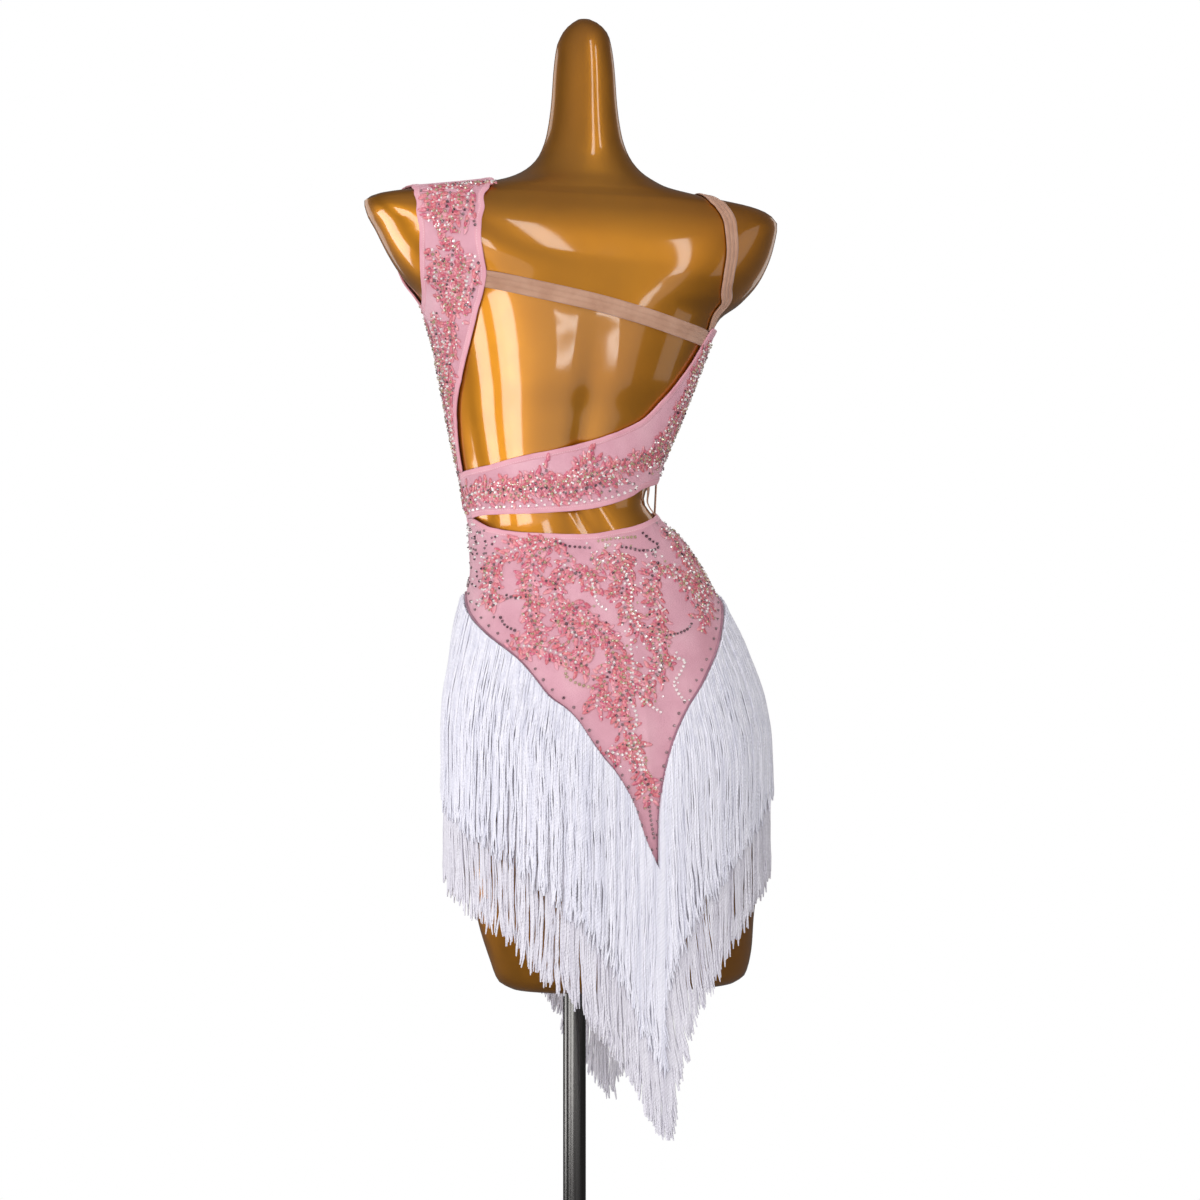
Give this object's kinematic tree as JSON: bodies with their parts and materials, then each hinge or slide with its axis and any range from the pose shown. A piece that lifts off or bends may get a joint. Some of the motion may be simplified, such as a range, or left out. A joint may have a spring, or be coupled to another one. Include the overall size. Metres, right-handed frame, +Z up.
{
  "type": "salsa dance dress on a dress form",
  "caption": "Asymmetric stretch dance dress with a cut-out waist, V yokes and a two-tier fringe skirt, on a limbless dress form with a pole stand.",
  "frame": {"origin": "on the floor, at the centre of the base's underside, under the pole's axis", "axes": "+Z up along the pole; the dress faces -Y; +X is the wearer's left, the side of the wide shoulder strap"},
  "size_m": [0.448, 0.33, 1.592],
  "materials": {
    "gold_form": "gold-coated gloss",
    "base_metal": "satin plated steel",
    "polished_steel": "dark polished plating",
    "pink_stretch": "matte stretch cloth set with sequins and stones",
    "nude_elastic": "ribbed elastic",
    "white_fringe": "soft looped yarn strands"
  },
  "bodies": {
    "root": {"dress_form": "gold_form", "stand_base": "base_metal", "stand_hub": "polished_steel", "stand_pole": "polished_steel", "yoke_back": "pink_stretch", "yoke_front": "pink_stretch", "back_band": "pink_stretch", "left_back_strap": "pink_stretch", "bodice_front": "pink_stretch", "back_elastic": "nude_elastic", "shoulder_elastic": "nude_elastic", "waist_elastic": "nude_elastic", "side_elastic": "nude_elastic", "fringe_long_back": "white_fringe", "fringe_long_front": "white_fringe", "fringe_short_back": "white_fringe", "fringe_short_front": "white_fringe"}
  },
  "joints": []
}
